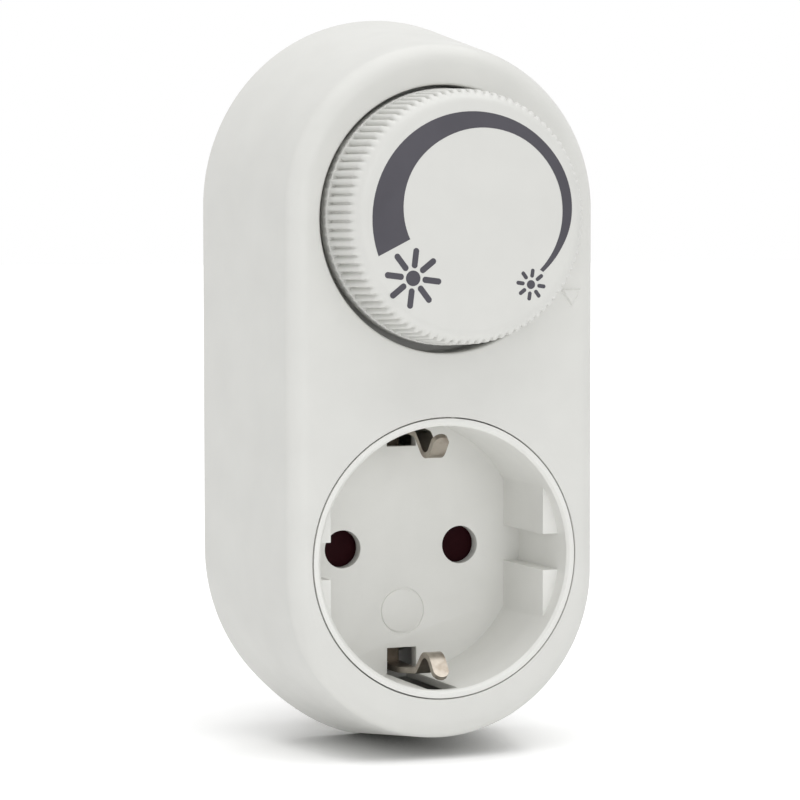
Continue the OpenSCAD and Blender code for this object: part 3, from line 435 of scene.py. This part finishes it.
bmesh.ops.translate(scale_print, vec=(0, ink_top - front, 0), verts=scale_print.verts)
dark_ink = moulded("dark_ink", ink_grey, ink_gloss, grain=ink_grain, deeper=0.93)
brightness_scale = finished(scale_print, "brightness_scale", dark_ink)
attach(brightness_scale, "dial")

# Socket insert: the round sleeve of the recess with a guide block at each side, and its floor with
# the two pin holes. Moulded in the same plastic, held from behind by a flange and a ledge.
recess_r, floor_depth = 19.4, 17.9
insert_edge, floor_edge, joint_reach = 0.18, 0.06, 0.1
rim_grow, face_rise, face_reach = 1.005, 0.06, 0.01
insert_white, insert_gloss = (231, 231, 227), (0.28, 0.38)


def moulding(node, edge_r, steps=3, crease=35, flat=0.5, joined=None):
    """A copy of a moulded piece with its triangles merged and its sharp edges, but for joints, rounded."""
    bm = bmesh.new()
    bm.from_mesh(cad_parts[node].data)
    bmesh.ops.remove_doubles(bm, verts=bm.verts, dist=weld)
    bmesh.ops.dissolve_limit(bm, angle_limit=radians(flat), verts=bm.verts, edges=bm.edges)
    sharp = [edge for edge in bm.edges if edge.is_manifold and edge.calc_face_angle() > radians(crease)]
    if joined:
        sharp = [edge for edge in sharp if not all(joined(vert.co) for vert in edge.verts)]
    bmesh.ops.bevel(bm, geom=sharp, offset=edge_r * mm, offset_type="OFFSET", segments=steps, profile=0.5,
                    affect="EDGES", clamp_overlap=True, material=-1)
    return bm


def guide_foot(spot):
    """Where the guides stand on the floor."""
    return abs(spot.y - at(0, floor_depth, 0).y) < joint_reach * mm


def floor_rim(spot):
    """Where the floor meets the sleeve."""
    return hypot(spot.x, spot.z) > recess_r * mm - joint_reach * mm


insert_plastic = moulded("insert_plastic", insert_white, insert_gloss)
sleeve = moulding("socket_insert", insert_edge, joined=guide_foot)
insert_sleeve = finished(sleeve, "insert_sleeve", insert_plastic)
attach(insert_sleeve, "housing")
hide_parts("socket_insert")
floor_plate = moulding("socket_floor", floor_edge, joined=floor_rim)
rim = [vert for vert in floor_plate.verts if floor_rim(vert.co)]
bmesh.ops.scale(floor_plate, vec=(rim_grow, 1, rim_grow), verts=rim)
face = [vert for vert in floor_plate.verts if vert.co.y < at(0, floor_depth + face_reach, 0).y]
bmesh.ops.translate(floor_plate, vec=(0, -face_rise * mm, 0), verts=face)
insert_floor = finished(floor_plate, "insert_floor", insert_plastic)
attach(insert_floor, "housing")
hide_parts("socket_floor")

# Child shutter: a two-winged rotor behind the pin holes that a plug's two pins turn aside together.
# Moulded in dark red plastic, turning on the floor's pivot against a small steel spring.
shutter_red, shutter_gloss, shutter_shine = (36, 4, 10), (0.45, 0.6), 0.06


def dress(material, *nodes):
    """Give CAD nodes that stay as they are a material."""
    for name in nodes:
        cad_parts[name].material_slots[0].material = material


shutter_plastic = moulded("shutter_plastic", shutter_red, shutter_gloss)
shutter_shader = shutter_plastic.node_tree.nodes["Principled BSDF"]
shutter_shader.inputs["Specular IOR Level"].default_value = shutter_shine
dress(shutter_plastic, "shutter")

# Earth strips: the two sprung clips that a plug's earth contacts slide onto, top and bottom.
# Stamped from nickel-plated brass strip and bent; the tails run on to the back of the plug. A bridge
# and two steel rivets join them, and the shutter's spring is of the same steel.
strip_w, strip_t, tail_w, tail_from = 2.5, 0.9, 3.7, 16.9
stamped_edge, stamped_angle = 0.28, 50
# depth, height, bend radius
strip_corners = [(1.6, 17.85, 0.0), (5.1, 13.8, 2.3), (9.2, 17.65, 1.2), (16.4, 18.45, 6.0),
                 (25.8, 18.45, 1.0), (28.4, 16.05, 1.0), (41.0, 16.05, 0.0)]

# the surface of drawn or rolled metal: fine lines along the grain and a few dull stains
line_scale, line_detail = 6000.0, 3.0
stain_scale, stain_detail, stain_low, stain_high = 420.0, 4.0, 0.45, 0.75
plated_metal, given, result = effect(
    "plated_metal",
    [("Colour", "Color"), ("Tarnish", "Color"), ("Gloss low", "Float"), ("Gloss high", "Float"),
     ("Draw", "Vector")],
    surface_values)
spot = plated_metal.nodes.new("ShaderNodeTexCoord").outputs["Object"]
stretch = plated_metal.nodes.new("ShaderNodeMapping")
plated_metal.links.new(spot, stretch.inputs["Vector"])
plated_metal.links.new(given.outputs["Draw"], stretch.inputs["Scale"])
drawn = noise(plated_metal, stretch.outputs["Vector"], line_scale, line_detail)
stain = noise(plated_metal, spot, stain_scale, stain_detail)
dulled = ranged(plated_metal, stain, stain_low, stain_high, 0.0, 1.0)
plated_metal.links.new(
    blended(plated_metal, dulled, given.outputs["Colour"], given.outputs["Tarnish"]),
    result.inputs["Colour"])
plated_metal.links.new(
    ranged(plated_metal, drawn, noise_low, noise_high,
           given.outputs["Gloss low"], given.outputs["Gloss high"]),
    result.inputs["Roughness"])
plated_metal.links.new(drawn, result.inputs["Height"])


def metal(name, colour, tarnish, gloss, draw=(1.0, 0.08, 1.0), line_strength=0.1, line_depth=0.02):
    """A metal with a drawn or rolled surface and slight stains."""
    return finish_material(
        name, plated_metal,
        {"Colour": seen(*colour), "Tarnish": seen(*tarnish), "Gloss low": gloss[0], "Gloss high": gloss[1],
         "Draw": draw},
        line_strength, line_depth * mm, Metallic=1.0)


def bent_strip(corners, width, tip_points=12, bend_steps=10):
    """A sheet strip with a round tip, led along (depth, z, bend radius) corners."""
    bm = bmesh.new()
    points = [Vector((depth, z)) for depth, z, bend_r in corners]
    ways = [(b - a).normalized() for a, b in zip(points, points[1:])]
    half = width / 2
    across = [half * cos(pi * i / tip_points) for i in range(tip_points + 1)]
    tips = [points[0] + ways[0] * (half - sqrt(max(half * half - x * x, 0.0))) for x in across]
    verts = [bm.verts.new(at(x, *tip)) for x, tip in zip(across, tips)]
    row = [bm.edges.new(pair) for pair in zip(verts, verts[1:])]
    for i, (way, corner) in enumerate(zip(ways, corners[1:])):
        bend_r = corner[2]
        last = i == len(ways) - 1
        turn = 0.0 if last else way.angle_signed(ways[i + 1])
        reach = bend_r * abs(sin(turn / 2) / cos(turn / 2))
        stop = points[i + 1] - way * reach
        verts, row = carried(bm, row)
        for vert in verts:
            vert.co = at(vert.co.x / mm, *stop)
        if not last:
            side = 1 if way.cross(ways[i + 1]) > 0 else -1
            centre = stop + Vector((-way.y, way.x)) * bend_r * side
            bent = bmesh.ops.spin(bm, geom=row + verts, cent=at(0, *centre), axis=(side, 0, 0),
                                  angle=abs(turn), steps=bend_steps)
            row = [part for part in bent["geom_last"] if isinstance(part, bmesh.types.BMEdge)]
    return bm


nickel_plate = metal("nickel_plate", (178, 170, 159), (140, 129, 117), (0.3, 0.44))
for name, side in (("earth_strip_top", 1), ("earth_strip_bottom", -1)):
    sheet = bent_strip(strip_corners, strip_w)
    bmesh.ops.scale(sheet, vec=(1, 1, side), verts=sheet.verts)
    tail = [vert for vert in sheet.verts if vert.co.y > at(0, tail_from, 0).y]
    bmesh.ops.scale(sheet, vec=(tail_w / strip_w, 1, 1), verts=tail)
    clip = finished(sheet, name + "_clip", nickel_plate, crease=180)
    thickness = clip.modifiers.new("strip_thickness", "SOLIDIFY")
    thickness.thickness = strip_t * mm
    thickness.offset = 0.0
    soft_edge = clip.modifiers.new("stamped_edge", "BEVEL")
    soft_edge.width = stamped_edge * mm
    soft_edge.segments = 3
    soft_edge.limit_method = "ANGLE"
    soft_edge.angle_limit = radians(stamped_angle)
    soft_edge.harden_normals = True
    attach(clip, "housing")
    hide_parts(name)
dress(metal("dull_nickel", (104, 95, 84), (74, 67, 58), (0.45, 0.6)), "earth_bridge")
steel = metal("steel", (182, 182, 180), (150, 148, 144), (0.25, 0.4))
dress(steel, "earth_rivets", "shutter_spring")

# Pin contacts: two slit brass sleeves behind the holes that grip a plug's pins.
# Rolled from strip and held in a grey moulded carrier inside the plug body.
brass = metal("brass", (205, 176, 110), (170, 140, 84), (0.22, 0.36))
dress(brass, "live_contact", "neutral_contact")
dress(moulded("carrier_plastic", (66, 63, 60), (0.45, 0.6)), "contact_carrier")

# Rear cover: the flat back plate with the round plug body that goes into a wall socket.
# One moulding in the housing's plastic, let into the housing's back and held by four screws; its
# lower edge follows the housing's foot.
outline_r, cover_edge = 23.5, 0.3
cover_plate = moulding("rear_cover", cover_edge)
draw_foot([vert for vert in cover_plate.verts
           if vert.co.z < 0 and hypot(vert.co.x, vert.co.z) > outline_r * mm])
back_cover = finished(cover_plate, "back_cover", housing_plastic)
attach(back_cover, "housing")
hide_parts("rear_cover")

# Plug pins: two solid round pins with rounded tips, each with a head inside the plug's end wall.
# Turned from brass and nickel-plated; the live one carries a tag for its wire.
pin_x, pin_r, pin_neck_r, pin_head_r, pin_tip_r = 9.5, 2.4, 2.2, 3.5, 1.6
pin_head, pin_shoulder, pin_end = 39.0, 41.0, 63.0
pin_head_edge, neck_step = 0.3, 0.2
pin_tag_size, pin_tag_depth, pin_tag_z = (2.0, 1.0, 5.1), 39.9, 5.05
pin_profile = [(0.0, pin_head), (pin_head_r - pin_head_edge, pin_head),
               (pin_head_r, pin_head + pin_head_edge), (pin_head_r, pin_shoulder), (pin_neck_r, pin_shoulder),
               (pin_neck_r, plug_face + neck_step), (pin_r, plug_face + 2 * neck_step)]
pin_profile += rounding(pin_r - pin_tip_r, pin_end - pin_tip_r, pin_tip_r, 90, 180, 12) + [(0.0, pin_end)]
bright_nickel = metal("bright_nickel", (204, 201, 196), (190, 186, 180), (0.2, 0.3))
for name, x in (("live_pin", pin_x), ("neutral_pin", -pin_x)):
    bar = bmesh.new()
    turned(bar, pin_profile, x=x, steps=64)
    if name == "live_pin":
        tag = bmesh.ops.create_cube(bar, size=mm)["verts"]
        bmesh.ops.scale(bar, vec=pin_tag_size, verts=tag)
        bmesh.ops.translate(bar, vec=at(x, pin_tag_depth, pin_tag_z), verts=tag)
    pin = finished(bar, name + "_bar", bright_nickel)
    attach(pin, "housing")
    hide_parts(name)

# Screws: four hold the rear cover to the housing's posts and two hold the circuit board.
# Thread-forming steel screws with a low round head and a cross recess.
head_r, shank_r, head_t, screw_length = 2.6, 1.1, 0.9, 7.0
point_r, point_start, point_end = 0.66, 0.6, 1.6
# how far the head's rounding stands in from its side and from its back
head_edge = [(0.0, 0.35), (0.12, 0.1), (0.4, 0.0)]
cross_long, cross_half, cross_depth, cross_taper = 1.5, 0.33, 0.6, 0.6
cover_head_back, board_head_back = 26.9, 22.0


def screws(name, posts, head_back):
    """Cross-recessed screws in the posts of both sides, with their heads' backs at one depth."""
    bm = bmesh.new()
    under = head_back - head_t
    tip = under - screw_length
    for x, z in [(side * x, z) for x, z in posts for side in (-1, 1)]:
        turned(bm, [(0.0, tip), (point_r, tip + point_start), (shank_r, tip + point_end), (shank_r, under),
                    (head_r, under)] + [(head_r - aside, head_back - back) for aside, back in head_edge],
               x=x, z=z, steps=48)
        arm = [(cross_long, -cross_half), (cross_long, cross_half), (cross_half, cross_half)]
        spots = [(px * cos(a) - pz * sin(a), px * sin(a) + pz * cos(a))
                 for a in (0, pi / 2, pi, 3 * pi / 2) for px, pz in arm]
        verts = [bm.verts.new(at(x + px, head_back, z + pz)) for px, pz in spots]
        recess = [bm.edges.new((verts[i - 1], verts[i])) for i in range(len(verts))]
        rim = [edge for edge in bm.edges if len(edge.link_faces) == 1 and level_with(head_back, edge)]
        bmesh.ops.triangle_fill(bm, edges=rim + recess, use_beauty=True)
        verts, row = carried(bm, recess)
        bmesh.ops.scale(bm, vec=(cross_taper, 1, cross_taper), space=Matrix.Translation(-at(x, 0, z)),
                        verts=verts)
        bmesh.ops.translate(bm, vec=(0, -cross_depth * mm, 0), verts=verts)
        bmesh.ops.contextual_create(bm, geom=row)
    piece = finished(bm, name + "_set", steel)
    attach(piece, "housing")
    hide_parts(name)


screws("cover_screws", [top_post, low_post], cover_head_back)
screws("board_screws", [board_post], board_head_back)

# Potentiometer: the regulator that the knob turns, clamped by its bush and nut in the well's floor.
# Brass bush, steel shaft and case, and a carbon track on brown laminate with a brass wiper.
dress(nickel_plate, "pot_nut")
dress(brass, "pot_bush", "pot_wiper", "pot_terminals")
dress(steel, "pot_shaft", "pot_case")
dress(moulded("track_laminate", (126, 84, 52), (0.5, 0.7), grain=2600.0, deeper=0.88), "pot_track")

# Circuit board: a glass-fibre board on two posts that carries the dimming circuit.
# Triac on a folded aluminium sink, ring choke, film capacitors, diac, resistors and a glass fuse.
dress(moulded("board", (44, 104, 62), (0.35, 0.55), grain=3000.0, deeper=0.9), "circuit_board")
dress(moulded("black_epoxy", (38, 38, 40), (0.4, 0.6), deeper=0.9), "triac")
dress(metal("aluminium", (200, 202, 204), (180, 182, 186), (0.3, 0.45)), "heat_sink")
dress(steel, "triac_screw")
dress(moulded("ferrite", (70, 72, 74), (0.5, 0.7), deeper=0.85), "choke_core")
dress(metal("copper_enamel", (168, 92, 52), (140, 72, 40), (0.2, 0.32)), "choke_winding")
dress(moulded("capacitor_box", (196, 160, 60), (0.3, 0.42), deeper=0.95), "film_capacitor")
dress(moulded("capacitor_film", (150, 70, 40), (0.3, 0.45), deeper=0.93), "timing_capacitor")
dress(moulded("diac_body", (60, 76, 120), (0.3, 0.45), deeper=0.92), "diac")
dress(moulded("resistor_body", (190, 160, 120), (0.4, 0.55), deeper=0.9), "resistors")
dress(nickel_plate, "fuse_caps")
dress(brass, "fuse_clips")
clear_glass = moulded("glass", (238, 244, 242), (0.02, 0.08), deeper=0.99, grain_strength=0.01)
clear_glass.node_tree.nodes["Principled BSDF"].inputs["Transmission Weight"].default_value = 1.0
dress(clear_glass, "fuse_tube")

# Wires: two sleeved wires from the board, one to the live pin and one to the live contact.
# Stranded copper in brown and black plastic sleeves, soldered at both ends.
dress(moulded("live_sleeve", (104, 62, 38), (0.4, 0.55), deeper=0.93), "live_wire")
dress(moulded("switched_sleeve", (42, 42, 44), (0.4, 0.55), deeper=0.9), "switched_wire")

# Studio: a white floor whose colour, as the camera sees it, carries painted shade close to the foot, a white
# surround and large soft lamps. The camera stands where the photograph was taken from, a little to the left
# and above.
floor_half, painted_shade_reach, painted_shade_falloff = 6000.0, 7.0, 0.5
painted_shade_grey, shown_white, bounced_white = (0.12, 0.12, 0.12, 1), (1.2, 1.2, 1.2, 1), (0.96, 0.96, 0.96, 1)
floor_mesh = bmesh.new()
bmesh.ops.create_grid(floor_mesh, x_segments=1, y_segments=1, size=floor_half * mm,
                      matrix=Matrix.Translation((0, 0, stands_at)))
floor_white_painted_shade = bpy.data.materials.new("floor_white_painted_shade")
floor_white_painted_shade.use_nodes = True
paper = floor_white_painted_shade.node_tree
paper_view = paper.nodes.new("ShaderNodeLightPath").outputs["Is Camera Ray"]
paper_shader = paper.nodes["Principled BSDF"]
paper_shader.inputs["Roughness"].default_value = 1.0
paper_shader.inputs["Specular IOR Level"].default_value = 0.0
# Painted shade: an occlusion node darkens the floor's colour towards grey where the object comes within
# reach, in place of a cast contact shadow.
contact = paper.nodes.new("ShaderNodeAmbientOcclusion")
contact.inputs["Distance"].default_value = painted_shade_reach * mm
openness = paper.nodes.new("ShaderNodeMath")
openness.operation = "POWER"
openness.inputs[1].default_value = painted_shade_falloff
paper.links.new(contact.outputs["AO"], openness.inputs[0])
# the painted shade goes only into the colour that the camera sees; other rays get the plain white
paper_painted_shade = blended(paper, openness.outputs[0], painted_shade_grey, shown_white)
paper_colour = blended(paper, paper_view, bounced_white, paper_painted_shade)
paper.links.new(paper_colour, paper_shader.inputs["Base Color"])
floor = finished(floor_mesh, "floor", floor_white_painted_shade)
floor.visible_shadow = False

scene = bpy.context.scene
scene.view_settings.view_transform = "Standard"
surround = bpy.data.worlds.new("surround")
scene.world = surround
surround.use_nodes = True
sky = surround.node_tree
light_path = sky.nodes.new("ShaderNodeLightPath")
shown_strength, lit_strength = 1.0, 0.4
shown = sky.nodes.new("ShaderNodeBackground")
lit = sky.nodes["Background"]
for backdrop, strength in ((shown, shown_strength), (lit, lit_strength)):
    backdrop.inputs["Strength"].default_value = strength
    backdrop.inputs["Color"].default_value = (1, 1, 1, 1)
direct = light_path.outputs["Is Camera Ray"]
for kind in ("Is Transmission Ray", "Is Glossy Ray"):
    either = sky.nodes.new("ShaderNodeMath")
    either.operation = "MAXIMUM"
    sky.links.new(direct, either.inputs[0])
    sky.links.new(light_path.outputs[kind], either.inputs[1])
    direct = either.outputs[0]
choice = sky.nodes.new("ShaderNodeMixShader")
sky.links.new(direct, choice.inputs[0])
sky.links.new(lit.outputs[0], choice.inputs[1])
sky.links.new(shown.outputs[0], choice.inputs[2])
sky.links.new(choice.outputs[0], sky.nodes["World Output"].inputs["Surface"])

# name, where the light comes from, spread in degrees, level
lamps = [("top_lamp", (0.04, -0.12, 1.0), 75, 0.57), ("front_lamp", (-0.05, -0.97, 0.2), 50, 0.19),
         ("left_lamp", (-0.95, -0.15, 0.2), 60, 0.09), ("low_lamp", (-0.2, -0.75, -0.6), 70, 0.12)]
for name, source, spread, level in lamps:
    lamp = bpy.data.lights.new(name, "SUN")
    lamp.energy = level * pi
    lamp.angle = radians(spread)
    holder = bpy.data.objects.new(name, lamp)
    holder.rotation_euler = Vector(source).to_track_quat("Z", "Y").to_euler()
    scene.collection.objects.link(holder)

lens = bpy.data.cameras.new("photo_camera")
lens.lens = 136.66
lens.sensor_width = 36.0
camera = bpy.data.objects.new("photo_camera", lens)
camera.location = (-0.1674, -0.4522, 0.04795)
camera.rotation_euler = (radians(86.789), radians(0.066), radians(-21.428))
scene.collection.objects.link(camera)
scene.camera = camera
